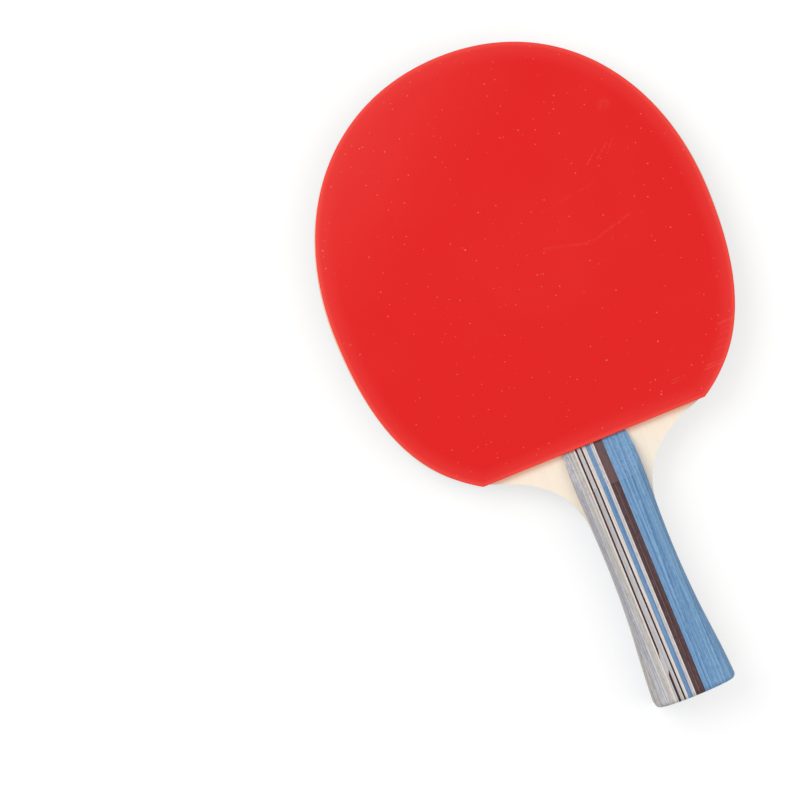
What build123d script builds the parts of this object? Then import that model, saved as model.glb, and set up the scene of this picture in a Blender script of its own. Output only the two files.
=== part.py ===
# Table tennis paddle: a five-ply wooden blade with a sponge and a rubber sheet on each face,
# and a handle of two scales, each glued up from coloured veneers that run along it.
# The head points to +Y, the red face to +Z, and the back scale's lowest point is at z = 0.
import os
from math import cos, radians, sin

from build123d import *

os.makedirs("parts", exist_ok=True)

# Blade and rubbers, seen from the front
overall_length = 257.3  # head tip to butt
head_width = 151.0
head_length = 155.5  # head tip to the straight lower edge of the rubbers
widest_drop = 84.1  # head tip to the widest place
tip_reach = 44.4  # how far the curve runs level on each side of the tip
shoulder_reach = 49.6  # how far it runs upright above the widest place
rubber_inset = 0.5  # wood left showing at each side of the rubber
rubber_tip_inset = 0.1
rubber_gap = 0.1  # between the rubber's lower edge and the handle
rubber_corner_width = 89.5
rubber_side_reach = 28.9
rubber_corner_reach = 29.4
rubber_corner_slope = 31.5  # degrees, where the curve meets the lower edge

# The wood's waist between head and handle, to the outline's turning point and on to the handle
blade_side_reach = 37.7
turning_width = 87.9
turning_drop = 154.9  # head tip to the turning point
turning_slope = 24.3
turning_reach_up = 22.5
turning_reach_down = 6.9
wing_reach = 25.1

# Layers, from the middle outwards
core_thickness = 2.6
inner_ply_thickness = 1.1
face_ply_thickness = 0.7
sponge_thickness = 1.5
top_sheet_thickness = 1.7

# Handle, seen from the front: widths, and drops from the rubbers' lower edge
handle_top_width = 25.0
bulge_width = 27.0
bulge_drop = 17.0
merge_width = 25.9  # where the blade's outline meets the handle's
merge_drop = 32.0
waist_width = 25.5
waist_drop = 42.0
flare_width = 27.6
flare_drop = 72.0
butt_width = 32.1
butt_crown = 0.8  # how far the butt bows outwards
merge_lean = 0.03  # sideways lean of the handle's side there, and the butt's the other way
handle_top_lean = 0.2

# Handle, seen from the side
scale_thickness = 8.2
butt_rise = 0.6  # extra thickness at the butt
butt_land = 5.0  # length over which the butt's full thickness is level, more than its rounding
side_rounding = 5.5
butt_rounding = 2.0
ramp_length = 17.0  # slope down to the blade at the rubbers' lower edge
ramp_foot = 1.6  # thickness left there
ramp_hollow = 0.35

# Veneer seams of a scale: x at the rubbers' lower edge and at the butt
grey_seams = (-10.7, -10.7)
pale_line_seams = (-8.5, -8.75)
dark_line_seams = (-7.85, -8.2)
pale_grey_seams = (-7.15, -7.5)
middle_dark_seams = (-5.8, -5.25)
cream_seams = (-5.15, -4.6)
narrow_blue_seams = (-3.75, -3.6)
white_seams = (-1.85, -1.75)
brown_seams = (-0.55, -0.45)
inner_blue_seams = (2.95, 3.2)
middle_blue_seams = (5.5, 5.65)
outer_blue_seams = (9.5, 9.6)
edge_veneer_share = 0.18  # the outermost seams' place between the waist's side and the butt's
edge_veneer_drop = 69.0  # the outermost veneers start here, where the flare has passed their seams

# The left dark line stops at a splice and starts again a little to the right
splice_drop = 85.0
splice_taper = 4.0
restart_drop = 88.5
restart_taper = 2.5
restart_seams = (-7.4, -6.55)

# Places that follow from the sizes
blade_thickness = core_thickness + 2 * (inner_ply_thickness + face_ply_thickness)
middle_height = blade_thickness / 2 + scale_thickness + butt_rise
blade_front = middle_height + blade_thickness / 2
scale_front = blade_front + scale_thickness
tip_y = overall_length / 2
butt_y = -tip_y
widest_y = tip_y - widest_drop
handle_top_y = tip_y - head_length
rubber_low_y = handle_top_y + rubber_gap
half_head = head_width / 2
turning_point = Vector(turning_width / 2, tip_y - turning_drop)
turning_way = Vector(cos(radians(turning_slope)), sin(radians(turning_slope)))
merge_point = Vector(merge_width / 2, handle_top_y - merge_drop)
merge_way = Vector(-merge_lean, -1)
butt_corner = Vector(butt_width / 2, butt_y + butt_crown)
other_butt_corner = Vector(-butt_width / 2, butt_y + butt_crown)


def upper_side(tip_inset, side_inset):
    tip = Vector(0, tip_y - tip_inset)
    widest = Vector(half_head - side_inset, widest_y)
    Bezier(tip, tip + Vector(tip_reach, 0), widest + Vector(0, shoulder_reach), widest)


def lower_handle_side():
    waist = (waist_width / 2, handle_top_y - waist_drop)
    flare = (flare_width / 2, handle_top_y - flare_drop)
    Spline(merge_point, waist, flare, butt_corner, tangents=(merge_way, (merge_lean, -1)))


# The plies share one outline, from the head through the wings to the handle's tongue
with BuildSketch() as blade_outline:
    with BuildLine():
        upper_side(0, 0)
        widest_place = Vector(half_head, widest_y)
        Bezier(
            widest_place,
            widest_place - Vector(0, blade_side_reach),
            turning_point + turning_way * turning_reach_up,
            turning_point,
        )
        Bezier(
            turning_point,
            turning_point - turning_way * turning_reach_down,
            merge_point - merge_way * wing_reach,
            merge_point,
        )
        lower_handle_side()
        mirror(about=Plane.YZ)
        ThreePointArc(other_butt_corner, (0, butt_y), butt_corner)
    make_face()
    fillet(blade_outline.vertices().group_by(Axis.Y)[0], butt_rounding)

# Rubber and sponge are cut together, a little inside the wood
with BuildSketch() as rubber_outline:
    with BuildLine():
        upper_side(rubber_tip_inset, rubber_inset)
        rubber_widest = Vector(half_head - rubber_inset, widest_y)
        rubber_corner = Vector(rubber_corner_width / 2, rubber_low_y)
        corner_way = Vector(cos(radians(rubber_corner_slope)), sin(radians(rubber_corner_slope)))
        Bezier(
            rubber_widest,
            rubber_widest - Vector(0, rubber_side_reach),
            rubber_corner + corner_way * rubber_corner_reach,
            rubber_corner,
        )
        mirror(about=Plane.YZ)
        Line((-rubber_corner.X, rubber_low_y), rubber_corner)
    make_face()

# Every flat layer, from the back of the paddle to its front
rubber_thickness = sponge_thickness + top_sheet_thickness
layers = (
    ("black_top_sheet", rubber_outline, top_sheet_thickness),
    ("black_sponge", rubber_outline, sponge_thickness),
    ("back_face_ply", blade_outline, face_ply_thickness),
    ("back_inner_ply", blade_outline, inner_ply_thickness),
    ("core_ply", blade_outline, core_thickness),
    ("front_inner_ply", blade_outline, inner_ply_thickness),
    ("front_face_ply", blade_outline, face_ply_thickness),
    ("red_sponge", rubber_outline, sponge_thickness),
    ("red_top_sheet", rubber_outline, top_sheet_thickness),
)
layer_height = middle_height - blade_thickness / 2 - rubber_thickness
for layer_name, outline, thickness in layers:
    with BuildPart() as layer:
        with BuildSketch(Plane.XY.offset(layer_height)):
            add(outline.sketch)
        extrude(amount=thickness)
    layer.part.label = layer_name
    export_step(layer.part, f"parts/{layer_name}.step")
    layer_height += thickness

# The front scale in one piece, before it is parted along its seams
with BuildPart() as front_scale:
    with BuildSketch(Plane.XY.offset(blade_front)):
        with BuildLine():
            Spline(
                (handle_top_width / 2, handle_top_y),
                (bulge_width / 2, handle_top_y - bulge_drop),
                merge_point,
                tangents=((handle_top_lean, -1), merge_way),
            )
            lower_handle_side()
            mirror(about=Plane.YZ)
            ThreePointArc(other_butt_corner, (0, butt_y), butt_corner)
            Line((-handle_top_width / 2, handle_top_y), (handle_top_width / 2, handle_top_y))
        make_face()
    extrude(amount=scale_thickness + butt_rise)
    with BuildSketch(Plane.YZ):
        with BuildLine():
            waist_y = handle_top_y - waist_drop
            back_edge = Line((butt_y, blade_front), (handle_top_y, blade_front))
            top_edge = Line(back_edge @ 1, (handle_top_y, scale_front))
            flat_edge = Line(top_edge @ 1, (waist_y, scale_front))
            rise_end = (butt_y + butt_land, scale_front + butt_rise)
            Spline(flat_edge @ 1, rise_end, tangents=((-1, 0), (-1, 0)))
            butt_edge = Line(back_edge @ 0, (butt_y, scale_front + butt_rise))
            Line(rise_end, butt_edge @ 1)
        make_face()
    extrude(amount=butt_width, both=True, mode=Mode.INTERSECT)
    # The long front edges are rounded for the hand, and the butt's edges are eased
    front_edges = front_scale.edges().filter_by(lambda edge: edge.center().Z > scale_front - butt_rise)
    fillet(front_edges.filter_by(lambda edge: abs(edge.center().X) > waist_width / 4), side_rounding)
    butt_edges = front_scale.faces().sort_by(Axis.Y)[0].edges()
    fillet(butt_edges.filter_by(lambda edge: edge.center().Z > blade_front + 0.01), butt_rounding)
    # The thumb ramp, slightly hollow, falls towards the blade
    with BuildSketch(Plane.YZ):
        with BuildLine():
            foot = Vector(handle_top_y, blade_front + ramp_foot)
            brow = Vector(handle_top_y - ramp_length, scale_front)
            SagittaArc(foot, brow, ramp_hollow)
            Line(brow, (handle_top_y, scale_front))
            Line((handle_top_y, scale_front), foot)
        make_face()
    extrude(amount=butt_width, both=True, mode=Mode.SUBTRACT)


def seam(ends):
    # An upright glue line down the handle, facing +X
    start = Vector(ends[0], handle_top_y)
    along = Vector(ends[1], butt_y) - start
    return Plane(origin=start, x_dir=along, z_dir=along.rotate(Axis.Z, 90))


strips = (
    ("middle_grey_veneer", (-butt_width, -butt_width)),
    ("inner_grey_veneer", grey_seams),
    ("pale_line", pale_line_seams),
    ("pale_grey_strip", dark_line_seams),
    ("middle_dark_line", middle_dark_seams),
    ("cream_strip", cream_seams),
    ("narrow_blue_strip", narrow_blue_seams),
    ("white_strip", white_seams),
    ("brown_strip", brown_seams),
    ("inner_blue_veneer", inner_blue_seams),
    ("middle_blue_veneer", middle_blue_seams),
    ("outer_blue_veneer", outer_blue_seams),
)
right_seams = [seam(ends) for strip_name, ends in strips[1:]] + [seam((butt_width, butt_width))]

# The outermost veneers lie only along the flare
edge_x = (waist_width + edge_veneer_share * (butt_width - waist_width)) / 2
edge_start = Plane.XZ.offset(edge_veneer_drop - handle_top_y)
with BuildPart() as outer_grey_veneer:
    add(front_scale.part)
    split(bisect_by=seam((-edge_x, -edge_x)), keep=Keep.BOTTOM)
    split(bisect_by=edge_start, keep=Keep.TOP)
with BuildPart() as edge_blue_veneer:
    add(front_scale.part)
    split(bisect_by=seam((edge_x, edge_x)), keep=Keep.TOP)
    split(bisect_by=edge_start, keep=Keep.TOP)

# The left dark line lies along the pale grey strip's left side, in two lengths
taper_start = Vector(pale_grey_seams[1], handle_top_y - splice_drop + splice_taper)
taper_end = Vector(dark_line_seams[1], handle_top_y - splice_drop)
taper_way = taper_end - taper_start
with BuildPart() as upper_dark_line:
    add(front_scale.part)
    split(bisect_by=seam(dark_line_seams), keep=Keep.TOP)
    split(bisect_by=seam(pale_grey_seams), keep=Keep.BOTTOM)
    split(
        bisect_by=Plane(origin=taper_start, x_dir=taper_way, z_dir=taper_way.rotate(Axis.Z, 90)),
        keep=Keep.BOTTOM,
    )
restart_left = (restart_seams[0], restart_seams[0])
restart_right = (restart_seams[1], restart_seams[1])
restart_tip = Vector(restart_seams[1], handle_top_y - restart_drop)
restart_way = Vector(restart_seams[0], restart_tip.Y - restart_taper) - restart_tip
with BuildPart() as lower_dark_line:
    add(front_scale.part)
    split(bisect_by=seam(restart_left), keep=Keep.TOP)
    split(bisect_by=seam(restart_right), keep=Keep.BOTTOM)
    split(
        bisect_by=Plane(origin=restart_tip, x_dir=restart_way, z_dir=restart_way.rotate(Axis.Z, 90)),
        keep=Keep.TOP,
    )

# What is let into a strip is left out of it
front_strips = {
    "outer_grey_veneer": outer_grey_veneer.part,
    "left_dark_line": upper_dark_line.part,
    "spliced_dark_line": lower_dark_line.part,
    "edge_blue_veneer": edge_blue_veneer.part,
}
let_in = {
    "middle_grey_veneer": ("outer_grey_veneer",),
    "pale_grey_strip": ("left_dark_line", "spliced_dark_line"),
    "outer_blue_veneer": ("edge_blue_veneer",),
}
for (strip_name, left_ends), right_seam in zip(strips, right_seams):
    with BuildPart() as strip:
        add(front_scale.part)
        split(bisect_by=seam(left_ends), keep=Keep.TOP)
        split(bisect_by=right_seam, keep=Keep.BOTTOM)
        for inner_name in let_in.get(strip_name, ()):
            add(front_strips[inner_name], mode=Mode.SUBTRACT)
    front_strips[strip_name] = strip.part

# The back scale is the front one turned over about the paddle's long axis
for strip_name, front_strip in front_strips.items():
    front_strip.label = f"front_{strip_name}"
    export_step(front_strip, f"parts/front_{strip_name}.step")
    with BuildPart() as back_strip:
        with Locations((0, 0, 2 * middle_height)):
            add(front_strip, rotation=(0, 180, 0))
    back_strip.part.label = f"back_{strip_name}"
    export_step(back_strip.part, f"parts/back_{strip_name}.step")
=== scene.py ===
import math

import bmesh
import bpy
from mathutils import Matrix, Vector


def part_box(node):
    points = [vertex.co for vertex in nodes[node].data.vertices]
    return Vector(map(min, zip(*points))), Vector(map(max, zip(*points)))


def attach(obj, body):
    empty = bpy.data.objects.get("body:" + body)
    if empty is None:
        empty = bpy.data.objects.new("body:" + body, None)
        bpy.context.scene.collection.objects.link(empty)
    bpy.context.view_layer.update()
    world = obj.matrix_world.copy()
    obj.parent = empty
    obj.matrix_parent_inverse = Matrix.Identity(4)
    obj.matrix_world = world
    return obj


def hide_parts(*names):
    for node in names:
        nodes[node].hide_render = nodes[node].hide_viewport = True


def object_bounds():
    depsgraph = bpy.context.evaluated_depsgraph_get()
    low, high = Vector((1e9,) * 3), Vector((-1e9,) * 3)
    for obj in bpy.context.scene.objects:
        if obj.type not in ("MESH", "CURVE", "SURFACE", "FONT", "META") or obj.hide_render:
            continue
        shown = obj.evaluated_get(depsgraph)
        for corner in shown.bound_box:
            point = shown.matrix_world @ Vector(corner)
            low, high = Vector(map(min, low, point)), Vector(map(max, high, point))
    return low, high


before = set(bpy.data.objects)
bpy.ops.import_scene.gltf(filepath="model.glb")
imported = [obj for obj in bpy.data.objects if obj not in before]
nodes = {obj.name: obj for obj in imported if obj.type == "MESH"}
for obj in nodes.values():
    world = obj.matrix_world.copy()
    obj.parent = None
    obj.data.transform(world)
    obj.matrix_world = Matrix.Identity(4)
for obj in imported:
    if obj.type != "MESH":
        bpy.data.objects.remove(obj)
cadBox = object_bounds()
mm = 0.001
print("frame: %d CAD nodes" % len(nodes))


def rgb(red, green, blue):
    # a screen colour, 0 to 255, as the linear colour that sockets take
    def linear(c):
        return c / 12.92 if c <= 0.04045 else ((c + 0.055) / 1.055) ** 2.4
    return (linear(red / 255), linear(green / 255), linear(blue / 255), 1.0)


def put(tree, kind, values=None, **settings):
    node = tree.nodes.new(kind)
    for name, value in settings.items():
        setattr(node, name, value)
    for socket, value in (values or {}).items():
        if isinstance(value, bpy.types.NodeSocket):
            tree.links.new(value, node.inputs[socket])
        else:
            node.inputs[socket].default_value = value
    return node


def calc(tree, operation, a, b=0.0, c=0.0, clamp=False):
    values = {0: a, 1: b, 2: c}
    return put(tree, "ShaderNodeMath", values, operation=operation, use_clamp=clamp).outputs[0]


def vectorCalc(tree, operation, a, b=(0, 0, 0)):
    return put(tree, "ShaderNodeVectorMath", {0: a, 1: b}, operation=operation).outputs[0]


def ramp(tree, value, fromLow, fromHigh, toLow=0.0, toHigh=1.0):
    # smooth step between two limits, which may run either way
    values = {"Value": value, "From Min": fromLow, "From Max": fromHigh, "To Min": toLow, "To Max": toHigh}
    return put(tree, "ShaderNodeMapRange", values, interpolation_type="SMOOTHSTEP").outputs[0]


def blend(tree, factor, a, b, kind="MIX"):
    node = put(tree, "ShaderNodeMix", {0: factor, 6: a, 7: b}, data_type="RGBA", blend_type=kind)
    return node.outputs[2]


def newGroup(name, inputs, outputs):
    tree = bpy.data.node_groups.new(name, "ShaderNodeTree")
    for socketName, kind, default in inputs:
        socket = tree.interface.new_socket(socketName, in_out="INPUT", socket_type=kind)
        if default is not None:
            socket.default_value = default
    for socketName, kind in outputs:
        tree.interface.new_socket(socketName, in_out="OUTPUT", socket_type=kind)
    return tree, tree.nodes.new("NodeGroupInput").outputs, tree.nodes.new("NodeGroupOutput").inputs


def placeGroup(tree, group, values):
    node = tree.nodes.new("ShaderNodeGroup")
    node.node_tree = group
    for socket, value in values.items():
        if isinstance(value, bpy.types.NodeSocket):
            tree.links.new(value, node.inputs[socket])
        else:
            node.inputs[socket].default_value = value
    return node.outputs


def newMaterial(name):
    material = bpy.data.materials.new(name)
    material.use_nodes = True
    tree = material.node_tree
    tree.nodes.clear()
    shader = tree.nodes.new("ShaderNodeBsdfPrincipled")
    out = tree.nodes.new("ShaderNodeOutputMaterial")
    tree.links.new(shader.outputs[0], out.inputs[0])
    return material, tree, shader


def place(tree, mirrored=False):
    # object coordinates, with left and right swapped on the paddle's back
    spot = tree.nodes.new("ShaderNodeTexCoord").outputs["Object"]
    if not mirrored:
        return spot
    return put(tree, "ShaderNodeMapping", {"Vector": spot, "Scale": (-1, 1, 1)}).outputs[0]


def bump(tree, height, strength, distance, normal=None):
    values = {"Height": height, "Strength": strength, "Distance": distance}
    if normal is not None:
        values["Normal"] = normal
    return put(tree, "ShaderNodeBump", values).outputs[0]


def makeFibreGroup():
    # long wood fibres along Y, broad and fine, with short open pores
    tree, given, out = newGroup(
        "woodFibres",
        [("Place", "NodeSocketVector", None), ("Width", "NodeSocketFloat", 0.8 * mm),
         ("Length", "NodeSocketFloat", 30 * mm), ("Seed", "NodeSocketFloat", 0.0)],
        [("Broad", "NodeSocketFloat"), ("Fine", "NodeSocketFloat"), ("Pores", "NodeSocketFloat")],
    )
    across = calc(tree, "DIVIDE", 1.0, given["Width"])
    along = calc(tree, "DIVIDE", 1.0, given["Length"])
    stretch = put(tree, "ShaderNodeCombineXYZ", {0: across, 1: along, 2: across}).outputs[0]
    spot = vectorCalc(tree, "MULTIPLY", given["Place"], stretch)
    broad = put(tree, "ShaderNodeTexNoise",
                {"Vector": spot, "W": given["Seed"], "Scale": 1.0, "Detail": 2.0, "Roughness": 0.5},
                noise_dimensions="4D").outputs[0]
    fineSeed = calc(tree, "ADD", given["Seed"], 7.3)
    fine = put(tree, "ShaderNodeTexNoise",
               {"Vector": spot, "W": fineSeed, "Scale": 3.4, "Detail": 3.0, "Roughness": 0.6},
               noise_dimensions="4D").outputs[0]
    poreSpot = vectorCalc(tree, "MULTIPLY", spot, (4.0, 9.0, 4.0))
    pores = put(tree, "ShaderNodeTexNoise",
                {"Vector": poreSpot, "W": given["Seed"], "Scale": 1.0, "Detail": 1.0, "Roughness": 0.4},
                noise_dimensions="4D").outputs[0]
    tree.links.new(broad, out["Broad"])
    tree.links.new(fine, out["Fine"])
    tree.links.new(ramp(tree, pores, 0.66, 0.74), out["Pores"])
    return tree


def makeSpeckGroup():
    # specks of dust, one to a cell at most
    tree, given, out = newGroup(
        "dustSpecks",
        [("Place", "NodeSocketVector", None), ("Cell", "NodeSocketFloat", 2.4 * mm),
         ("Size", "NodeSocketFloat", 0.16), ("Share", "NodeSocketFloat", 0.5)],
        [("Specks", "NodeSocketFloat")],
    )
    scale = calc(tree, "DIVIDE", 1.0, given["Cell"])
    cells = put(tree, "ShaderNodeTexVoronoi", {"Vector": given["Place"], "Scale": scale}, feature="F1")
    chance = put(tree, "ShaderNodeSeparateColor", {0: cells.outputs["Color"]})
    radius = calc(tree, "MULTIPLY", given["Size"], calc(tree, "ADD", chance.outputs[1], 0.15))
    inside = calc(tree, "LESS_THAN", cells.outputs["Distance"], radius)
    chosen = calc(tree, "LESS_THAN", chance.outputs[0], given["Share"])
    tree.links.new(calc(tree, "MULTIPLY", inside, chosen), out["Specks"])
    return tree


def makePipGroup():
    # how near a point is to the middle of a pip, on the same lattice as the pips themselves
    tree, given, out = newGroup(
        "pipShadow",
        [("Place", "NodeSocketVector", None), ("Pitch", "NodeSocketFloat", 2.1 * mm)],
        [("Near", "NodeSocketFloat")],
    )
    rowPitch = calc(tree, "MULTIPLY", given["Pitch"], math.sqrt(3))
    cell = put(tree, "ShaderNodeCombineXYZ", {0: given["Pitch"], 1: rowPitch, 2: 1.0}).outputs[0]
    half = vectorCalc(tree, "MULTIPLY", cell, (0.5, 0.5, 0.5))
    otherHalf = vectorCalc(tree, "MULTIPLY", half, (-1, -1, -1))
    distances = []
    for shift in (half, (0, 0, 0)):
        moved = vectorCalc(tree, "ADD", given["Place"], shift)
        wrapped = put(tree, "ShaderNodeVectorMath", {0: moved, 1: half, 2: otherHalf},
                      operation="WRAP").outputs[0]
        flat = vectorCalc(tree, "MULTIPLY", wrapped, (1, 1, 0))
        distances.append(put(tree, "ShaderNodeVectorMath", {0: flat}, operation="LENGTH").outputs["Value"])
    nearest = calc(tree, "MINIMUM", distances[0], distances[1])
    share = calc(tree, "DIVIDE", nearest, given["Pitch"])
    tree.links.new(ramp(tree, share, 0.46, 0.28), out["Near"])
    return tree


def makeSeamGroup():
    # distances in from a strip's left and right seams, which may run slightly out of true
    tree, given, out = newGroup(
        "seamDistance",
        [("Place", "NodeSocketVector", None),
         ("Top Y", "NodeSocketFloat", 0.0), ("Butt Y", "NodeSocketFloat", 0.0),
         ("Left Top", "NodeSocketFloat", 0.0), ("Left Butt", "NodeSocketFloat", 0.0),
         ("Right Top", "NodeSocketFloat", 0.0), ("Right Butt", "NodeSocketFloat", 0.0)],
        [("Left", "NodeSocketFloat"), ("Right", "NodeSocketFloat")],
    )
    spot = put(tree, "ShaderNodeSeparateXYZ", {0: given["Place"]})
    run = calc(tree, "SUBTRACT", given["Butt Y"], given["Top Y"])
    share = calc(tree, "DIVIDE", calc(tree, "SUBTRACT", spot.outputs[1], given["Top Y"]), run)
    for side, sign in (("Left", 1.0), ("Right", -1.0)):
        top, butt = given[side + " Top"], given[side + " Butt"]
        seamX = calc(tree, "MULTIPLY_ADD", calc(tree, "SUBTRACT", butt, top), share, top)
        inward = calc(tree, "MULTIPLY", calc(tree, "SUBTRACT", spot.outputs[0], seamX), sign)
        tree.links.new(inward, out[side])
    return tree


def makeStrokeGroup():
    # a soft-edged stroke from one point to another, broken up along its length
    tree, given, out = newGroup(
        "wearStroke",
        [("Place", "NodeSocketVector", None),
         ("From X", "NodeSocketFloat", 0.0), ("From Y", "NodeSocketFloat", 0.0),
         ("To X", "NodeSocketFloat", 0.0), ("To Y", "NodeSocketFloat", 0.0),
         ("Width", "NodeSocketFloat", 0.4 * mm), ("Broken", "NodeSocketFloat", 0.5)],
        [("Mask", "NodeSocketFloat")],
    )
    start = put(tree, "ShaderNodeCombineXYZ", {0: given["From X"], 1: given["From Y"]}).outputs[0]
    end = put(tree, "ShaderNodeCombineXYZ", {0: given["To X"], 1: given["To Y"]}).outputs[0]
    flat = vectorCalc(tree, "MULTIPLY", given["Place"], (1, 1, 0))
    run = vectorCalc(tree, "SUBTRACT", end, start)
    reach = vectorCalc(tree, "SUBTRACT", flat, start)
    along = put(tree, "ShaderNodeVectorMath", {0: reach, 1: run}, operation="DOT_PRODUCT").outputs["Value"]
    whole = put(tree, "ShaderNodeVectorMath", {0: run, 1: run}, operation="DOT_PRODUCT").outputs["Value"]
    share = calc(tree, "DIVIDE", along, whole, clamp=True)
    nearest = put(tree, "ShaderNodeVectorMath", {0: run, "Scale": share}, operation="SCALE").outputs[0]
    apart = vectorCalc(tree, "SUBTRACT", reach, nearest)
    off = put(tree, "ShaderNodeVectorMath", {0: apart}, operation="LENGTH")
    half = calc(tree, "MULTIPLY", given["Width"], 0.5)
    line = ramp(tree, off.outputs["Value"], half, calc(tree, "MULTIPLY", half, 0.3))
    grit = put(tree, "ShaderNodeTexNoise",
               {"Vector": given["Place"], "Scale": 1400.0, "Detail": 2.0}).outputs[0]
    gaps = calc(tree, "MULTIPLY", ramp(tree, grit, 0.45, 0.6), given["Broken"])
    unbroken = calc(tree, "SUBTRACT", 1.0, given["Broken"])
    tree.links.new(calc(tree, "MULTIPLY", line, calc(tree, "ADD", unbroken, gaps)), out["Mask"])
    return tree


def makeEdgeGroup():
    # the sawn and sanded edge of a ply, where it faces sideways
    tree, given, out = newGroup(
        "cutEdge",
        [("Place", "NodeSocketVector", None), ("Height", "NodeSocketFloat", 0.13 * mm),
         ("Length", "NodeSocketFloat", 3.5 * mm)],
        [("Edge", "NodeSocketFloat"), ("Streaks", "NodeSocketFloat")],
    )
    flat = calc(tree, "DIVIDE", 1.0, given["Length"])
    tall = calc(tree, "DIVIDE", 1.0, given["Height"])
    stretch = put(tree, "ShaderNodeCombineXYZ", {0: flat, 1: flat, 2: tall}).outputs[0]
    spot = vectorCalc(tree, "MULTIPLY", given["Place"], stretch)
    streaks = put(tree, "ShaderNodeTexNoise", {"Vector": spot, "Scale": 1.0, "Detail": 2.0}).outputs[0]
    facing = tree.nodes.new("ShaderNodeNewGeometry").outputs["True Normal"]
    upright = put(tree, "ShaderNodeSeparateXYZ", {0: facing}).outputs[2]
    tree.links.new(ramp(tree, calc(tree, "ABSOLUTE", upright), 0.8, 0.4), out["Edge"])
    tree.links.new(ramp(tree, streaks, 0.38, 0.66), out["Streaks"])
    return tree


def makeRubberGroup():
    # where a rubber sheet is lighter: handled patches, a painted sheen over one side of the face towards the
    # tip, and a painted sheen towards its rim; also a painted highlight along its edge
    tree, given, out = newGroup(
        "rubberShade",
        [("Place", "NodeSocketVector", None), ("From Rim", "NodeSocketFloat", 0.0),
         ("Sheen Way", "NodeSocketVector", None), ("Sheen From", "NodeSocketFloat", 68 * mm),
         ("Sheen To", "NodeSocketFloat", 120 * mm), ("Sheen Share", "NodeSocketFloat", 0.5),
         ("Handled Share", "NodeSocketFloat", 0.12),
         ("Rim Sheen Width", "NodeSocketFloat", 8 * mm), ("Rim Sheen Share", "NodeSocketFloat", 0.65),
         ("Edge Highlight Width", "NodeSocketFloat", 2.2 * mm), ("Edge Highlight Share", "NodeSocketFloat", 0.5)],
        [("Cloud", "NodeSocketFloat"), ("Light", "NodeSocketFloat"), ("Edge", "NodeSocketFloat")],
    )
    cloud = put(tree, "ShaderNodeTexNoise", {"Vector": given["Place"], "Scale": 24.0, "Detail": 3.0}).outputs[0]
    handled = calc(tree, "MULTIPLY", ramp(tree, cloud, 0.4, 0.75), given["Handled Share"])
    # painted sheen: the face turns lighter along a set way, towards one side of the tip
    towards = put(tree, "ShaderNodeVectorMath", {0: given["Place"], 1: given["Sheen Way"]},
                  operation="DOT_PRODUCT").outputs["Value"]
    paintedSheen = ramp(tree, towards, given["Sheen From"], given["Sheen To"])
    paintedSheen = calc(tree, "MULTIPLY", paintedSheen, given["Sheen Share"])
    # painted sheen, lighter towards the rim
    rim = ramp(tree, given["From Rim"], given["Rim Sheen Width"], 0.5 * mm)
    rim = calc(tree, "MULTIPLY", rim, given["Rim Sheen Share"])
    kept = 1.0  # the share of the plain tone that each of the three leaves
    for lighter in (handled, paintedSheen, rim):
        kept = calc(tree, "MULTIPLY", kept, calc(tree, "SUBTRACT", 1.0, lighter))
    # painted highlight along the sheet's cut edge
    edge = ramp(tree, given["From Rim"], given["Edge Highlight Width"], 0.2 * mm)
    edge = calc(tree, "MULTIPLY", edge, given["Edge Highlight Share"])
    tree.links.new(cloud, out["Cloud"])
    tree.links.new(calc(tree, "SUBTRACT", 1.0, kept), out["Light"])
    tree.links.new(edge, out["Edge"])
    return tree


def makeLineGroup():
    # a thin soft line, a set distance in from a seam
    tree, given, out = newGroup(
        "seamLine",
        [("Distance", "NodeSocketFloat", 0.0), ("Middle", "NodeSocketFloat", 0.5 * mm),
         ("Width", "NodeSocketFloat", 0.3 * mm)],
        [("Line", "NodeSocketFloat")],
    )
    off = calc(tree, "ABSOLUTE", calc(tree, "SUBTRACT", given["Distance"], given["Middle"]))
    outside = calc(tree, "MULTIPLY", given["Width"], 0.5)
    inside = calc(tree, "MULTIPLY", given["Width"], 0.2)
    tree.links.new(ramp(tree, off, outside, inside), out["Line"])
    return tree


def makeRampGroup():
    # the handle's sloped top above its brow, and the fine line along the brow where painted shade goes
    tree, given, out = newGroup(
        "slopedTop",
        [("Place", "NodeSocketVector", None), ("Brow Y", "NodeSocketFloat", 0.0),
         ("Line", "NodeSocketFloat", 0.3 * mm)],
        [("Slope", "NodeSocketFloat"), ("Brow", "NodeSocketFloat")],
    )
    y = put(tree, "ShaderNodeSeparateXYZ", {0: given["Place"]}).outputs[1]
    above = calc(tree, "SUBTRACT", y, given["Brow Y"])
    inside = calc(tree, "MULTIPLY", given["Line"], 0.4)
    tree.links.new(ramp(tree, above, 0.0, 0.1 * mm), out["Slope"])
    tree.links.new(ramp(tree, calc(tree, "ABSOLUTE", above), given["Line"], inside), out["Brow"])
    return tree


woodFibres = makeFibreGroup()
dustSpecks = makeSpeckGroup()
pipShadow = makePipGroup()
seamDistance = makeSeamGroup()
wearStroke = makeStrokeGroup()
cutEdge = makeEdgeGroup()
rubberShade = makeRubberGroup()
seamLine = makeLineGroup()
slopedTop = makeRampGroup()
print("shader groups made")


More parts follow.
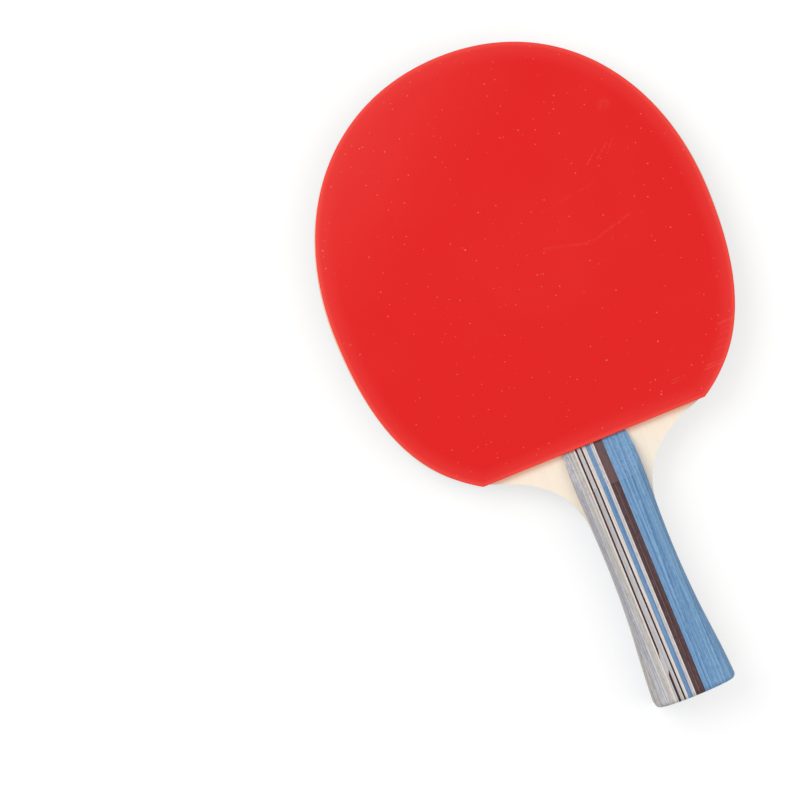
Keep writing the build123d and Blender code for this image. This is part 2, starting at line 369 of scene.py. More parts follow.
sheet = {
    "skin": 0.85 * mm,  # the smooth outer skin, which carries the pips
    "undercut": 0.08 * mm,  # how far the skin's inner edge is cut back
    "undercutRise": 0.1 * mm,
    "rimRound": 0.3 * mm,
    "roundSteps": 5,
    "rimSag": 0.1 * mm,  # how far the playing face sinks at its rim
    "sagWidth": 2.5 * mm,
    "segment": 1.6 * mm,  # length of the mesh's steps along the rim
    "sharpCorner": 25,  # degrees, from which a corner of the outline is kept
    "smoothTo": 50,  # degrees between faces, up to which they are shaded as one
    "rimRings": (0.8 * mm, 1.5 * mm, 2.5 * mm, 4 * mm, 6 * mm, 9 * mm, 13 * mm),
    "innerRings": 14,
    "innerReach": 60 * mm,  # about from the last rim ring to the middle
    "pipPitch": 2.1 * mm,
    "pipRadius": 0.78 * mm,
    "pipTip": 0.9,  # the pip's radius at its other end, as a share
    "pipSides": 8,
    "rimRoom": 0.12 * mm,  # between a pip and the sheet's cut edge
    "buried": 0.04 * mm,
}


def rimOf(nodeName):
    # the node's outline seen from above, in order, as a smooth line with its corners kept
    lo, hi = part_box(nodeName)
    corners = {(round(v.co.x, 6), round(v.co.y, 6)) for v in nodes[nodeName].data.vertices
               if abs(v.co.z - hi.z) < 1e-6}
    middle = Vector(((lo.x + hi.x) / 2, (lo.y + hi.y) / 2))
    ring = sorted((Vector(c) for c in corners), key=lambda p: math.atan2(p.y - middle.y, p.x - middle.x))
    count = len(ring)
    runs = [ring[(i + 1) % count] - ring[i] for i in range(count)]
    leave, arrive = [], []  # directions out of and into each corner
    for i in range(count):
        before, after = runs[i - 1], runs[i]
        through = before.normalized() * after.length + after.normalized() * before.length
        sharp = before.angle(after) > math.radians(sheet["sharpCorner"])
        leave.append(after.normalized() if sharp else through.normalized())
        arrive.append(before.normalized() if sharp else through.normalized())
    rim = []
    for i, start in enumerate(ring):
        length = runs[i].length
        bendIn = leave[i] * length - runs[i]
        bendOut = arrive[(i + 1) % count] * length - runs[i]
        steps = max(1, math.ceil(length / sheet["segment"]))
        for k in range(steps):
            t = k / steps
            rim.append(start + runs[i] * t + bendIn * (t * (1 - t) ** 2) - bendOut * (t * t * (1 - t)))
    return rim, middle


def inward(rim, i):
    # the step from a rim point that moves both its edges in by one
    before = (rim[i] - rim[i - 1]).normalized()
    after = (rim[(i + 1) % len(rim)] - rim[i]).normalized()
    normal = Vector((-(before.y + after.y), before.x + after.x)).normalized()
    return normal / max(0.5, normal.dot(Vector((-after.y, after.x))))


def sheetMesh(nodeName, outSign):
    # the skin as a closed mesh; outSign says which way its playing face looks
    lo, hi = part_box(nodeName)
    face = hi.z if outSign > 0 else lo.z
    rim, middle = rimOf(nodeName)
    steps = [inward(rim, i) for i in range(len(rim))]
    mesh = bmesh.new()
    fromRim = mesh.verts.layers.float.new("fromRim")

    def sag(inset):
        return sheet["rimSag"] * math.exp(-inset / sheet["sagWidth"])

    def ringAt(points, drop, inset):
        made = []
        for p in points:
            v = mesh.verts.new((p.x, p.y, face - outSign * drop))
            v[fromRim] = inset
            made.append(v)
        return made

    radius = sheet["rimRound"]
    rings = [ringAt([p + s * sheet["undercut"] for p, s in zip(rim, steps)], sheet["skin"], 0.0),
             ringAt(rim, sheet["skin"] - sheet["undercutRise"], 0.0)]
    for k in range(sheet["roundSteps"] + 1):
        turn = math.radians(90 * k / sheet["roundSteps"])
        inset = radius * (1 - math.cos(turn))
        points = [p + s * inset for p, s in zip(rim, steps)]
        rings.append(ringAt(points, radius * (1 - math.sin(turn)) + sag(inset), inset))
    innermost = [p + s * radius for p, s in zip(rim, steps)]
    for inset in sheet["rimRings"]:
        points = [p.lerp(middle, (inset - radius) / (p - middle).length) for p in innermost]
        rings.append(ringAt(points, sag(inset), inset))
    last = sheet["rimRings"][-1]
    outer = [p.lerp(middle, (last - radius) / (p - middle).length) for p in innermost]
    for k in range(1, sheet["innerRings"]):
        share = k / sheet["innerRings"]
        rings.append(ringAt([p.lerp(middle, share) for p in outer], 0.0, last + sheet["innerReach"] * share))
    pole = mesh.verts.new((middle.x, middle.y, face))
    pole[fromRim] = last + sheet["innerReach"]
    count = len(rim)
    for low, high in zip(rings, rings[1:]):
        for i in range(count):
            j = (i + 1) % count
            mesh.faces.new((low[i], low[j], high[j], high[i]))
    for i in range(count):
        mesh.faces.new((rings[-1][i], rings[-1][(i + 1) % count], pole))
    mesh.faces.new(rings[0])
    bmesh.ops.recalc_face_normals(mesh, faces=mesh.faces)
    made = bpy.data.meshes.new(nodeName + "Skin")
    mesh.to_mesh(made)
    mesh.free()
    made.shade_smooth()
    made.set_sharp_from_angle(angle=math.radians(sheet["smoothTo"]))
    return made, face


def makePipTree():
    # pips on a hexagonal lattice inside the sheet's outline, standing on its inner side
    tree = bpy.data.node_groups.new("pipsOnSheet", "GeometryNodeTree")
    wanted = [("Sheet", "NodeSocketGeometry"), ("Centre", "NodeSocketVector"), ("Pitch", "NodeSocketFloat"),
              ("Columns", "NodeSocketInt"), ("Rows", "NodeSocketInt"), ("Radius", "NodeSocketFloat"),
              ("Tip", "NodeSocketFloat"), ("Height", "NodeSocketFloat"), ("Sides", "NodeSocketInt"),
              ("Rim Room", "NodeSocketFloat"), ("Material", "NodeSocketMaterial")]
    for name, kind in wanted:
        tree.interface.new_socket(name, in_out="INPUT", socket_type=kind)
    tree.interface.new_socket("Geometry", in_out="OUTPUT", socket_type="NodeSocketGeometry")
    given = tree.nodes.new("NodeGroupInput").outputs
    out = tree.nodes.new("NodeGroupOutput").inputs
    rowPitch = calc(tree, "MULTIPLY", given["Pitch"], math.sqrt(3))
    sizeX = calc(tree, "MULTIPLY", given["Pitch"], calc(tree, "SUBTRACT", given["Columns"], 1.0))
    sizeY = calc(tree, "MULTIPLY", rowPitch, calc(tree, "SUBTRACT", given["Rows"], 1.0))
    lattice = put(tree, "GeometryNodeMeshGrid",
                  {"Size X": sizeX, "Size Y": sizeY, "Vertices X": given["Columns"],
                   "Vertices Y": given["Rows"]}).outputs[0]
    halfCell = put(tree, "ShaderNodeCombineXYZ", {0: calc(tree, "MULTIPLY", given["Pitch"], 0.5),
                                                  1: calc(tree, "MULTIPLY", rowPitch, 0.5)}).outputs[0]
    between = put(tree, "GeometryNodeSetPosition", {"Geometry": lattice, "Offset": halfCell}).outputs[0]
    both = tree.nodes.new("GeometryNodeJoinGeometry")
    tree.links.new(between, both.inputs[0])
    tree.links.new(lattice, both.inputs[0])
    placed = put(tree, "GeometryNodeSetPosition",
                 {"Geometry": both.outputs[0], "Offset": given["Centre"]}).outputs[0]

    # a place is kept where a ray from 20 mm below meets the skin, and the cut edge is far enough away
    here = tree.nodes.new("GeometryNodeInputPosition").outputs[0]
    below = put(tree, "ShaderNodeVectorMath", {0: here, 1: (0, 0, -0.02)}, operation="ADD").outputs[0]
    ray = put(tree, "GeometryNodeRaycast", {"Target Geometry": given["Sheet"], "Source Position": below,
                                            "Ray Direction": (0, 0, 1), "Ray Length": 0.05})
    hit = ray.outputs["Is Hit"]
    facing = tree.nodes.new("GeometryNodeInputNormal").outputs[0]
    upright = put(tree, "ShaderNodeSeparateXYZ", {0: facing}).outputs[2]
    side = put(tree, "FunctionNodeCompare", {0: calc(tree, "ABSOLUTE", upright), 1: 0.2},
               data_type="FLOAT", operation="LESS_THAN").outputs[0]
    wall = put(tree, "GeometryNodeSeparateGeometry", {"Geometry": given["Sheet"], "Selection": side},
               domain="FACE").outputs[0]
    gap = put(tree, "GeometryNodeProximity", {"Geometry": wall, "Sample Position": ray.outputs["Hit Position"]},
              target_element="FACES").outputs["Distance"]
    needed = calc(tree, "ADD", given["Radius"], given["Rim Room"])
    clear = put(tree, "FunctionNodeCompare", {0: gap, 1: needed},
                data_type="FLOAT", operation="GREATER_THAN").outputs[0]
    kept = put(tree, "FunctionNodeBooleanMath", {0: hit, 1: clear}, operation="AND").outputs[0]
    spots = put(tree, "GeometryNodeMeshToPoints", {"Mesh": placed, "Selection": kept}).outputs[0]

    tip = calc(tree, "MULTIPLY", given["Radius"], given["Tip"])
    pip = put(tree, "GeometryNodeMeshCone",
              {"Vertices": given["Sides"], "Radius Top": tip, "Radius Bottom": given["Radius"],
               "Depth": given["Height"]}).outputs[0]
    standing = put(tree, "GeometryNodeInstanceOnPoints", {"Points": spots, "Instance": pip}).outputs[0]
    whole = put(tree, "GeometryNodeRealizeInstances", {0: standing}).outputs[0]
    joined = tree.nodes.new("GeometryNodeJoinGeometry")
    tree.links.new(whole, joined.inputs[0])
    tree.links.new(given["Sheet"], joined.inputs[0])
    finished = put(tree, "GeometryNodeSetMaterial",
                   {"Geometry": joined.outputs[0], "Material": given["Material"]}).outputs[0]
    tree.links.new(finished, out[0])
    return tree


def setInputs(modifier, values):
    sockets = {item.name: item.identifier for item in modifier.node_group.interface.items_tree
               if item.item_type == "SOCKET" and item.in_out == "INPUT"}
    for name, value in values.items():
        modifier[sockets[name]] = value


def frozen(piece):
    # the evaluated result as a plain mesh, with the modifiers gone
    graph = bpy.context.evaluated_depsgraph_get()
    mesh = bpy.data.meshes.new_from_object(piece.evaluated_get(graph))
    piece.modifiers.clear()
    piece.data = mesh


def makeSheet(nodeName, pieceName, outSign, material, pipTree):
    mesh, face = sheetMesh(nodeName, outSign)
    piece = bpy.data.objects.new(pieceName, mesh)
    bpy.context.scene.collection.objects.link(piece)
    piece.data.materials.append(material)
    lo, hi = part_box(nodeName)
    pitch = sheet["pipPitch"]
    rowPitch = pitch * math.sqrt(3)
    pipHeight = (hi.z - lo.z) - sheet["skin"] + sheet["buried"]
    centreY = round((lo.y + hi.y) / 2 / rowPitch) * rowPitch
    pipTop = face - outSign * (sheet["skin"] - sheet["buried"])
    pipLow = min(pipTop, pipTop - outSign * pipHeight)
    modifier = piece.modifiers.new("pips", "NODES")
    modifier.node_group = pipTree
    setInputs(modifier, {
        "Centre": (0.0, centreY, pipLow),
        "Pitch": pitch,
        "Columns": 2 * math.ceil((hi.x - lo.x) / 2 / pitch) + 1,
        "Rows": 2 * math.ceil((hi.y - lo.y) / 2 / rowPitch) + 1,
        "Radius": sheet["pipRadius"],
        "Tip": sheet["pipTip"],
        "Height": pipHeight,
        "Sides": sheet["pipSides"],
        "Rim Room": sheet["rimRoom"],
        "Material": material,
    })
    frozen(piece)
    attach(piece, "root")
    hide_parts(nodeName)
    print(pieceName, "triangles:", sum(len(p.vertices) - 2 for p in piece.data.polygons))


# the rim and edge tones paint a sheen and a highlight along the rim, and the way below points to where a
# painted sheen lies across the face
rubberLooks = {
    "redRubber": {
        "tone": rgb(225, 10, 6), "handledAndSheenTone": rgb(233, 50, 45), "edgeHighlightTone": rgb(250, 84, 70),
        "speckTone": rgb(250, 150, 140), "markTone": rgb(240, 96, 88), "roughness": 0.5, "specular": 0.235,
        "sheenWay": (-0.6, 0.8, 0.0),
        "marks": [  # from x, y to x, y in mm, width in mm, strength, how broken
            (59.2, -3.2, 65.6, -3.2, 0.4, 0.55, 0.4),
            (59.6, -3.9, 65.0, -3.8, 0.35, 0.4, 0.5),
            (60.0, -5.4, 63.8, -5.2, 0.35, 0.35, 0.5),
            (59.0, -7.2, 62.5, -7.0, 0.35, 0.35, 0.5),
            (56.5, -9.7, 60.5, -9.4, 0.35, 0.3, 0.6),
            (54.5, -11.9, 59.0, -12.1, 0.4, 0.35, 0.6),
            (49.5, -16.2, 57.8, -16.3, 0.4, 0.5, 0.4),
            (48.2, -17.4, 56.5, -17.4, 0.4, 0.5, 0.4),
            (49.0, -17.0, 54.0, -16.9, 0.3, 0.3, 0.6),
            (35.5, -16.6, 38.4, -16.3, 0.4, 0.45, 0.5),
            (34.8, -17.6, 37.8, -17.6, 0.4, 0.35, 0.5),
            (34.0, -24.2, 44.6, -24.3, 0.3, 0.2, 0.5),
            (36.5, 70.0, 42.0, 74.6, 0.8, 0.3, 0.8),
            (41.0, 70.8, 46.2, 74.9, 0.7, 0.3, 0.8),
            (45.2, 71.4, 49.4, 76.0, 0.6, 0.25, 0.8),
            (10.0, 47.0, 27.0, 42.6, 1.8, 0.12, 0.9),
            (27.0, 42.6, 45.0, 47.5, 1.8, 0.12, 0.9),
            (14.0, 60.0, 36.0, 63.0, 1.2, 0.08, 0.9),
            (50.6, 88.6, 51.2, 89.0, 6.4, 0.14, 0.7),
        ],
    },
    "blackRubber": {
        "tone": rgb(26, 26, 28), "handledAndSheenTone": rgb(40, 40, 42), "edgeHighlightTone": rgb(62, 62, 64),
        "speckTone": rgb(120, 120, 120), "markTone": rgb(78, 78, 80), "roughness": 0.42, "specular": 0.38,
        "sheenWay": (0.6, 0.8, 0.0),
        "marks": [
            (-34.0, 66.0, -22.0, 71.0, 0.6, 0.35, 0.7),
            (-30.0, 63.5, -19.0, 67.5, 0.5, 0.3, 0.7),
            (20.0, 30.0, 38.0, 24.0, 1.6, 0.14, 0.9),
            (48.0, 2.0, 53.5, -5.0, 0.5, 0.3, 0.6),
        ],
    },
}
dust = {  # sizes are shares of a cell; seen says how strongly a speck shows
    "fine": {"cell": 2.3 * mm, "size": 0.115, "share": 0.7, "seen": 0.3},
    "lint": {"cell": 6.5 * mm, "size": 0.046, "share": 0.7, "seen": 0.45},
}
rubberRelief = {"pips": 0.12, "slow": 0.25, "slowScale": 90.0, "fine": 0.2, "fineScale": 2600.0}


def rubberMaterial(name):
    look = rubberLooks[name]
    material, tree, shader = newMaterial(name)
    spot = place(tree)
    fromRim = put(tree, "ShaderNodeAttribute", attribute_name="fromRim").outputs["Fac"]
    shade = placeGroup(tree, rubberShade, {"Place": spot, "From Rim": fromRim, "Sheen Way": look["sheenWay"]})
    cloud = shade["Cloud"]
    # lighter handled patches, and a painted sheen across the face and towards the rim
    tone = blend(tree, shade["Light"], look["tone"], look["handledAndSheenTone"])
    # painted highlight along the edge
    tone = blend(tree, shade["Edge"], tone, look["edgeHighlightTone"])
    marked = 0.0
    for fromX, fromY, toX, toY, width, strength, broken in look["marks"]:
        stroke = placeGroup(tree, wearStroke, {"Place": spot, "From X": fromX * mm, "From Y": fromY * mm,
                                               "To X": toX * mm, "To Y": toY * mm, "Width": width * mm,
                                               "Broken": broken})["Mask"]
        marked = calc(tree, "MAXIMUM", marked, calc(tree, "MULTIPLY", stroke, strength))
    tone = blend(tree, marked, tone, look["markTone"])
    dusted = 0.0
    for kind in dust.values():
        specks = placeGroup(tree, dustSpecks, {"Place": spot, "Cell": kind["cell"], "Size": kind["size"],
                                               "Share": kind["share"]})["Specks"]
        dusted = calc(tree, "MAXIMUM", dusted, calc(tree, "MULTIPLY", specks, kind["seen"]))
    tree.links.new(blend(tree, dusted, tone, look["speckTone"]), shader.inputs["Base Color"])
    shader.inputs["Specular IOR Level"].default_value = look["specular"]
    rough = calc(tree, "MULTIPLY_ADD", cloud, 0.1, look["roughness"] - 0.05)
    rough = calc(tree, "MULTIPLY_ADD", marked, 0.3, rough)
    tree.links.new(rough, shader.inputs["Roughness"])
    near = placeGroup(tree, pipShadow, {"Place": spot, "Pitch": sheet["pipPitch"]})["Near"]
    fine = put(tree, "ShaderNodeTexNoise",
               {"Vector": spot, "Scale": rubberRelief["fineScale"], "Detail": 2.0}).outputs[0]
    slow = put(tree, "ShaderNodeTexNoise",
               {"Vector": spot, "Scale": rubberRelief["slowScale"], "Detail": 2.0}).outputs[0]
    relief = bump(tree, near, rubberRelief["pips"], 0.02 * mm)
    relief = bump(tree, slow, rubberRelief["slow"], 0.3 * mm, relief)
    relief = bump(tree, fine, rubberRelief["fine"], 0.03 * mm, relief)
    tree.links.new(relief, shader.inputs["Normal"])
    return material


pipTree = makePipTree()
makeSheet("red_top_sheet", "redSheet", 1, rubberMaterial("redRubber"), pipTree)
makeSheet("black_top_sheet", "blackSheet", -1, rubberMaterial("blackRubber"), pipTree)
print("rubber sheets made")


foam = {"tone": rgb(238, 160, 100), "shade": rgb(206, 122, 72), "cell": 0.24 * mm, "patches": 160.0,
        "pitDepth": 0.1 * mm, "roughness": 0.9}


def foamMaterial():
    material, tree, shader = newMaterial("foam")
    spot = place(tree)
    cells = put(tree, "ShaderNodeTexVoronoi", {"Vector": spot, "Scale": 1 / foam["cell"]},
                feature="SMOOTH_F1").outputs[0]
    pits = ramp(tree, cells, 0.55, 0.2)
    patchy = put(tree, "ShaderNodeTexNoise",
                 {"Vector": spot, "Scale": foam["patches"], "Detail": 2.0}).outputs[0]
    shaded = calc(tree, "MULTIPLY", pits, calc(tree, "ADD", patchy, 0.1))
    tree.links.new(blend(tree, shaded, foam["tone"], foam["shade"]), shader.inputs["Base Color"])
    shader.inputs["Roughness"].default_value = foam["roughness"]
    tree.links.new(bump(tree, pits, 0.5, -foam["pitDepth"]), shader.inputs["Normal"])
    return material


def dress(nodeName, material):
    data = nodes[nodeName].data
    data.materials.clear()
    data.materials.append(material)


foamLook = foamMaterial()
for nodeName in ("red_sponge", "black_sponge"):
    dress(nodeName, foamLook)


plies = {
    "core_ply": {"tone": rgb(246, 226, 192), "shade": rgb(224, 196, 154), "width": 1.4 * mm, "contrast": 0.8},
    "front_inner_ply": {"tone": rgb(230, 200, 158), "shade": rgb(198, 160, 114), "width": 0.9 * mm,
                        "contrast": 0.8, "across": True},
    "back_inner_ply": {"tone": rgb(230, 200, 158), "shade": rgb(198, 160, 114), "width": 0.9 * mm,
                       "contrast": 0.8, "across": True},
    "front_face_ply": {"tone": rgb(254, 241, 222), "shade": rgb(243, 225, 201), "width": 0.9 * mm,
                       "contrast": 0.34, "redBounceTone": rgb(255, 196, 168)},
    "back_face_ply": {"tone": rgb(254, 241, 222), "shade": rgb(243, 225, 201), "width": 0.9 * mm,
                      "contrast": 0.34},
}
plyEdge = {"streakHeight": 0.13 * mm, "streakLength": 3.5 * mm, "pore": 0.22 * mm, "darker": 0.85}
plyFace = {"grainLength": 26 * mm, "threadShare": 0.4, "poreShare": 0.2, "specular": 0.28,
           "bounceWidth": 2.4 * mm, "bounceShare": 0.6}  # painted red bounce light from the rubber on the wood beside it


def plyMaterial(name, look, seed):
    material, tree, shader = newMaterial(name + "Wood")
    spot = place(tree)
    across = look.get("across", False)
    turned = spot
    if across:  # this ply's fibres run across the blade
        turned = put(tree, "ShaderNodeMapping",
                     {"Vector": spot, "Rotation": (0, 0, math.radians(90))}).outputs[0]
    grain = placeGroup(tree, woodFibres, {"Place": turned, "Width": look["width"],
                                          "Length": plyFace["grainLength"], "Seed": seed})
    figure = calc(tree, "MULTIPLY", ramp(tree, grain["Broad"], 0.36, 0.68), 1 - plyFace["threadShare"])
    thread = ramp(tree, grain["Fine"], 0.4, 0.75)
    mixed = calc(tree, "MULTIPLY_ADD", thread, plyFace["threadShare"], figure)
    flatTone = blend(tree, calc(tree, "MULTIPLY", mixed, look["contrast"]), look["tone"], look["shade"])
    pores = calc(tree, "MULTIPLY", grain["Pores"], plyFace["poreShare"])
    flatTone = blend(tree, pores, flatTone, look["shade"], "MULTIPLY")
    # painted bounce light: the wood is tinted warm just below the red rubber's edge
    if "redBounceTone" in look:
        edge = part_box("red_sponge")[0].y
        below = calc(tree, "SUBTRACT", edge, put(tree, "ShaderNodeSeparateXYZ", {0: spot}).outputs[1])
        paintedBounce = calc(tree, "MULTIPLY", ramp(tree, below, plyFace["bounceWidth"], 0.0), plyFace["bounceShare"])
        flatTone = blend(tree, paintedBounce, flatTone, look["redBounceTone"])
    height, length = plyEdge["streakHeight"], plyEdge["streakLength"]
    if across:  # its cut edge shows the fibres' ends
        height = length = plyEdge["pore"]
    cut = placeGroup(tree, cutEdge, {"Place": spot, "Height": height, "Length": length})
    streaked = calc(tree, "MULTIPLY", cut["Streaks"], plyEdge["darker"])
    cutTone = blend(tree, streaked, look["tone"], look["shade"])
    tree.links.new(blend(tree, cut["Edge"], flatTone, cutTone), shader.inputs["Base Color"])
    tree.links.new(calc(tree, "MULTIPLY_ADD", grain["Fine"], 0.2, 0.5), shader.inputs["Roughness"])
    shader.inputs["Specular IOR Level"].default_value = plyFace["specular"]
    tree.links.new(bump(tree, grain["Fine"], 0.25, 0.05 * mm), shader.inputs["Normal"])
    return material


for seed, (nodeName, look) in enumerate(plies.items()):
    dress(nodeName, plyMaterial(nodeName, look, seed * 3.1))
print("blade plies dressed")


veneers = {  # lines: distance from the left seam, or from the right one if negative, and width, in mm
    "outer_grey_veneer": {"tone": rgb(193, 190, 188), "streak": rgb(146, 143, 147), "pale": rgb(222, 217, 213),
                          "lines": []},
    "middle_grey_veneer": {"tone": rgb(189, 188, 193), "streak": rgb(142, 143, 157), "pale": rgb(218, 215, 215),
                           "lines": [(-0.2, 0.35, "pale"), (-0.75, 0.3, "streak"), (-1.55, 0.3, "streak")]},
    "inner_grey_veneer": {"tone": rgb(191, 187, 183), "streak": rgb(149, 144, 140), "pale": rgb(216, 211, 205),
                          "lines": [(0.35, 0.3, "streak"), (1.0, 0.35, "pale"), (1.6, 0.3, "streak")]},
    "pale_line": {"tone": rgb(226, 216, 208), "streak": rgb(206, 195, 187), "pale": rgb(238, 230, 223),
                  "lines": []},
    "left_dark_line": {"tone": rgb(52, 24, 25), "streak": rgb(36, 16, 18), "pale": rgb(74, 44, 42),
                       "lines": []},
    "spliced_dark_line": {"tone": rgb(52, 24, 25), "streak": rgb(36, 16, 18), "pale": rgb(74, 44, 42),
                          "lines": []},
    "pale_grey_strip": {"tone": rgb(194, 191, 193), "streak": rgb(170, 166, 170), "pale": rgb(213, 209, 206),
                        "lines": [(-0.25, 0.4, "pale"), (0.75, 0.25, "streak")]},
    "middle_dark_line": {"tone": rgb(52, 25, 26), "streak": rgb(36, 17, 18), "pale": rgb(76, 46, 44),
                         "lines": []},
    "cream_strip": {"tone": rgb(219, 209, 204), "streak": rgb(194, 183, 178), "pale": rgb(238, 229, 222),
                    "lines": [(0.5, 0.3, "streak"), (0.2, 0.3, "pale")]},
    "narrow_blue_strip": {"tone": rgb(106, 143, 182), "streak": rgb(84, 120, 162), "pale": rgb(134, 166, 198),
                          "lines": [(0.9, 0.6, "streak")], "cut": 0.6},
    "white_strip": {"tone": rgb(210, 203, 200), "streak": rgb(164, 162, 170), "pale": rgb(238, 228, 220),
                    "lines": [(0.6, 0.3, "streak"), (-0.2, 0.3, "pale")]},
    "brown_strip": {"tone": rgb(84, 60, 62), "streak": rgb(58, 34, 37), "pale": rgb(112, 88, 86),
                    "lines": [(0.25, 0.45, "streak"), (-0.3, 0.4, "streak"), (1.6, 0.5, "pale")], "cut": 1.0},
    "inner_blue_veneer": {"tone": rgb(108, 149, 189), "streak": rgb(76, 115, 160), "pale": rgb(136, 175, 212),
                          "lines": [(1.3, 0.45, "pale"), (2.0, 0.6, "streak")], "cut": 0.5},
    "middle_blue_veneer": {"tone": rgb(111, 152, 191), "streak": rgb(78, 117, 162), "pale": rgb(140, 179, 214),
                           "lines": [(0.3, 0.5, "pale"), (0.8, 0.4, "streak"), (-1.4, 0.7, "pale"),
                                     (-0.6, 0.5, "streak")]},
    "outer_blue_veneer": {"tone": rgb(117, 158, 195), "streak": rgb(84, 123, 166), "pale": rgb(146, 184, 217),
                          "lines": [(0.2, 0.45, "pale"), (1.6, 0.35, "pale"), (2.25, 0.4, "streak")]},
    "edge_blue_veneer": {"tone": rgb(114, 154, 193), "streak": rgb(82, 121, 165), "pale": rgb(142, 180, 214),
                         "lines": [(0.2, 0.35, "pale")]},
}
# the sloped top is made lighter, partly as bare cut wood and partly as painted light where the slope faces the
# lamps; its brow line is painted shade in the crease
ramped = {"browDrop": 17 * mm, "lighter": 0.5, "line": 0.3 * mm, "lineShade": 0.7, "plainCut": 0.1}
strip = {"layerWidth": 0.62 * mm, "layerLength": 160 * mm, "fleckWidth": 0.42 * mm, "fleckLength": 1.9 * mm,
         "fibreWidth": 0.32 * mm, "fibreLength": 9 * mm, "lineShare": 0.7, "poreShare": 0.4, "specular": 0.24}
figures = [  # which fibres, which of their noises, its two limits, the tone it brings and how strongly
    ("layer", "Broad", 0.5, 0.68, "streak", 0.75),
    ("layer", "Broad", 0.46, 0.3, "pale", 0.65),
    ("fibre", "Fine", 0.45, 0.75, "streak", 0.5),
    ("fibre", "Broad", 0.55, 0.75, "pale", 0.5),
    ("fleck", "Broad", 0.54, 0.7, "streak", 0.55),
    ("fleck", "Broad", 0.46, 0.3, "pale", 0.45),
]


def stripSides(nodeName, mirrored):
    # where the strip's two seams run at its blade end and at the butt
    points = [v.co for v in nodes[nodeName].data.vertices]
    sign = -1 if mirrored else 1
    top, butt = max(p.y for p in points), min(p.y for p in points)
    atTop = [sign * p.x for p in points if p.y > top - 1e-5]
    atButt = [sign * p.x for p in points if p.y < butt + 1e-5]
    return {"Top Y": top, "Butt Y": butt, "Left Top": min(atTop), "Right Top": max(atTop),
            "Left Butt": min(atButt), "Right Butt": max(atButt)}


def veneerMaterial(stripName, side, seed):
    look = veneers[stripName]
    nodeName = side + "_" + stripName
    material, tree, shader = newMaterial(nodeName + "Look")
    spot = place(tree, mirrored=side == "back")
    fibres = {kind: placeGroup(tree, woodFibres, {"Place": spot, "Width": strip[kind + "Width"],
                                                  "Length": strip[kind + "Length"], "Seed": seed + later})
              for kind, later in (("layer", 0.0), ("fibre", 1.3), ("fleck", 2.1))}

    def figured(tone, some):
        for kind, noise, fromLow, fromHigh, figureTone, share in some:
            mask = calc(tree, "MULTIPLY", ramp(tree, fibres[kind][noise], fromLow, fromHigh), share)
            tone = blend(tree, mask, tone, look[figureTone])
        return tone

    tone = figured(look["tone"], figures[:2])
    sides = stripSides(nodeName, side == "back")
    seams = placeGroup(tree, seamDistance, {"Place": spot, **sides})
    for where, width, lineTone in look["lines"]:
        distance = seams["Left"] if where > 0 else seams["Right"]
        line = placeGroup(tree, seamLine, {"Distance": distance, "Middle": abs(where) * mm,
                                           "Width": width * mm})["Line"]
        tone = blend(tree, calc(tree, "MULTIPLY", line, strip["lineShare"]), tone, look[lineTone])
    tone = figured(tone, figures[2:])
    pores = calc(tree, "MULTIPLY", fibres["fibre"]["Pores"], strip["poreShare"])
    tone = blend(tree, pores, tone, look["streak"])
    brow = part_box("front_brown_strip")[1].y - ramped["browDrop"]
    slope = placeGroup(tree, slopedTop, {"Place": spot, "Brow Y": brow, "Line": ramped["line"]})
    cut = look.get("cut", ramped["plainCut"])
    # lighter sloped top: bare cut wood in part, painted light in part
    tone = blend(tree, calc(tree, "MULTIPLY", slope["Slope"], ramped["lighter"] * cut), tone, look["pale"])
    # painted shade along the brow's crease
    tone = blend(tree, calc(tree, "MULTIPLY", slope["Brow"], ramped["lineShade"] * cut), tone, look["streak"])
    tree.links.new(tone, shader.inputs["Base Color"])
    tree.links.new(calc(tree, "MULTIPLY_ADD", fibres["fibre"]["Fine"], 0.2, 0.42), shader.inputs["Roughness"])
    shader.inputs["Specular IOR Level"].default_value = strip["specular"]
    relief = bump(tree, fibres["layer"]["Broad"], 0.2, 0.05 * mm)
    tree.links.new(bump(tree, fibres["fibre"]["Fine"], 0.25, 0.04 * mm, relief), shader.inputs["Normal"])
    return material


for side in ("front", "back"):
    for count, stripName in enumerate(veneers):
        seed = count * 2.7 + (40 if side == "back" else 0)
        dress(side + "_" + stripName, veneerMaterial(stripName, side, seed))
print("handle veneers dressed")


def seenDirectly(tree):
    # for what the camera sees, also in a mirror or through glass
    seen = tree.nodes.new("ShaderNodeLightPath")
    direct = calc(tree, "MAXIMUM", seen.outputs["Is Camera Ray"], seen.outputs["Is Glossy Ray"])
    return calc(tree, "MAXIMUM", direct, seen.outputs["Is Transmission Ray"])


floorLook = {"tone": rgb(176, 176, 176), "roughness": 0.9, "glow": 0.6, "reach": 3.0, "under": 0.2 * mm}


def floorMaterial():
    # pale from above, with a glow of its own for the eye only, and clear from below
    material, tree, shader = newMaterial("paleFloor")
    shader.inputs["Base Color"].default_value = floorLook["tone"]
    shader.inputs["Roughness"].default_value = floorLook["roughness"]
    glow = calc(tree, "MULTIPLY", seenDirectly(tree), floorLook["glow"])
    tree.links.new(glow, shader.inputs["Emission Strength"])
    shader.inputs["Emission Color"].default_value = (1, 1, 1, 1)
    clear = tree.nodes.new("ShaderNodeBsdfTransparent")
    below = tree.nodes.new("ShaderNodeNewGeometry").outputs["Backfacing"]
    mix = put(tree, "ShaderNodeMixShader", {0: below, 1: shader.outputs[0], 2: clear.outputs[0]})
    tree.links.new(mix.outputs[0], tree.nodes["Material Output"].inputs[0])
    return material


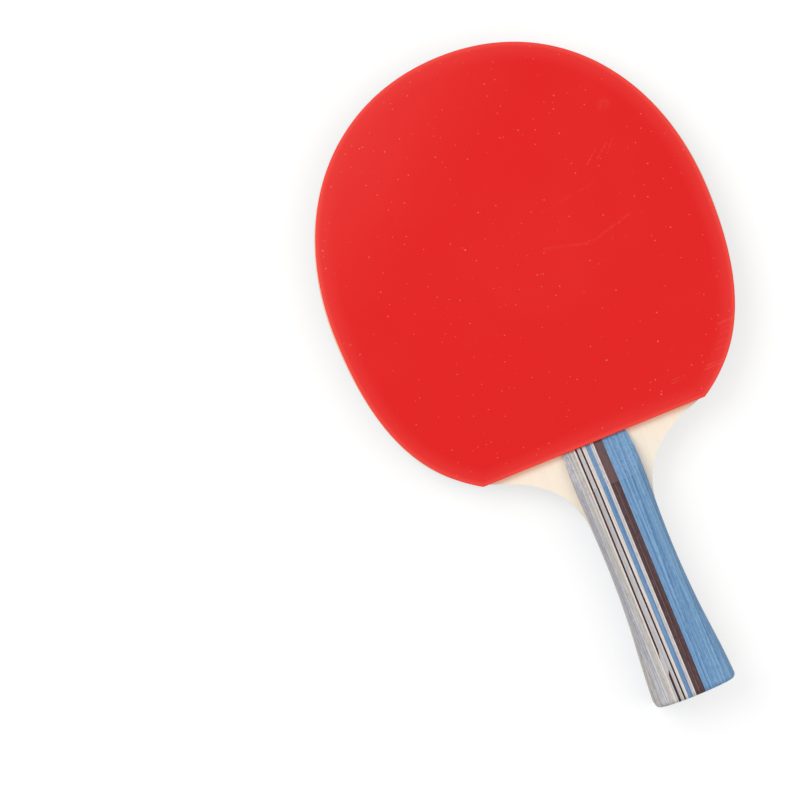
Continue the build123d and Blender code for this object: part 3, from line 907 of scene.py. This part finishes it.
def makeFloor():
    mesh = bpy.data.meshes.new("floor")
    reach = floorLook["reach"]
    low = cadBox[0].z - floorLook["under"]
    corners = [(-reach, -reach, low), (reach, -reach, low), (reach, reach, low), (-reach, reach, low)]
    mesh.from_pydata(corners, [], [(0, 1, 2, 3)])
    floor = bpy.data.objects.new("floor", mesh)
    bpy.context.scene.collection.objects.link(floor)
    mesh.materials.append(floorMaterial())


studio = {
    "sky": 0.55,
    "softboxes": [  # place, size, watts
        ((-0.7, 0.8, 1.5), 1.2, 13.0),
        ((0.9, -0.4, 1.6), 1.4, 7.0),
    ],
}


def makeLights():
    world = bpy.data.worlds.new("studio")
    bpy.context.scene.world = world
    world.use_nodes = True
    tree = world.node_tree
    strength = ramp(tree, seenDirectly(tree), 0.0, 1.0, studio["sky"], 1.0)
    back = tree.nodes["Background"]
    back.inputs["Color"].default_value = (1, 1, 1, 1)
    tree.links.new(strength, back.inputs["Strength"])
    target = (cadBox[0] + cadBox[1]) / 2
    for spot, size, power in studio["softboxes"]:
        light = bpy.data.lights.new("softbox", "AREA")
        light.shape = "DISK"
        light.size = size
        light.energy = power
        lamp = bpy.data.objects.new("softbox", light)
        lamp.location = spot
        lamp.rotation_euler = (target - Vector(spot)).to_track_quat("-Z", "Y").to_euler()
        bpy.context.scene.collection.objects.link(lamp)


cameraView = {"above": 1.65, "lens": 198.66, "left": 0.0613, "ahead": 0.01515, "turn": -22.2, "farthest": 20.0}


def makeCamera():
    data = bpy.data.cameras.new("camera")
    data.lens = cameraView["lens"]
    data.clip_end = cameraView["farthest"]
    camera = bpy.data.objects.new("camera", data)
    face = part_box("red_top_sheet")[1].z
    camera.location = (-cameraView["left"], cameraView["ahead"], face + cameraView["above"])
    camera.rotation_euler = (0, 0, math.radians(cameraView["turn"]))
    bpy.context.scene.collection.objects.link(camera)
    bpy.context.scene.camera = camera


makeFloor()
makeLights()
makeCamera()
bpy.context.scene.view_settings.view_transform = "Standard"
print("floor, lights and camera set")
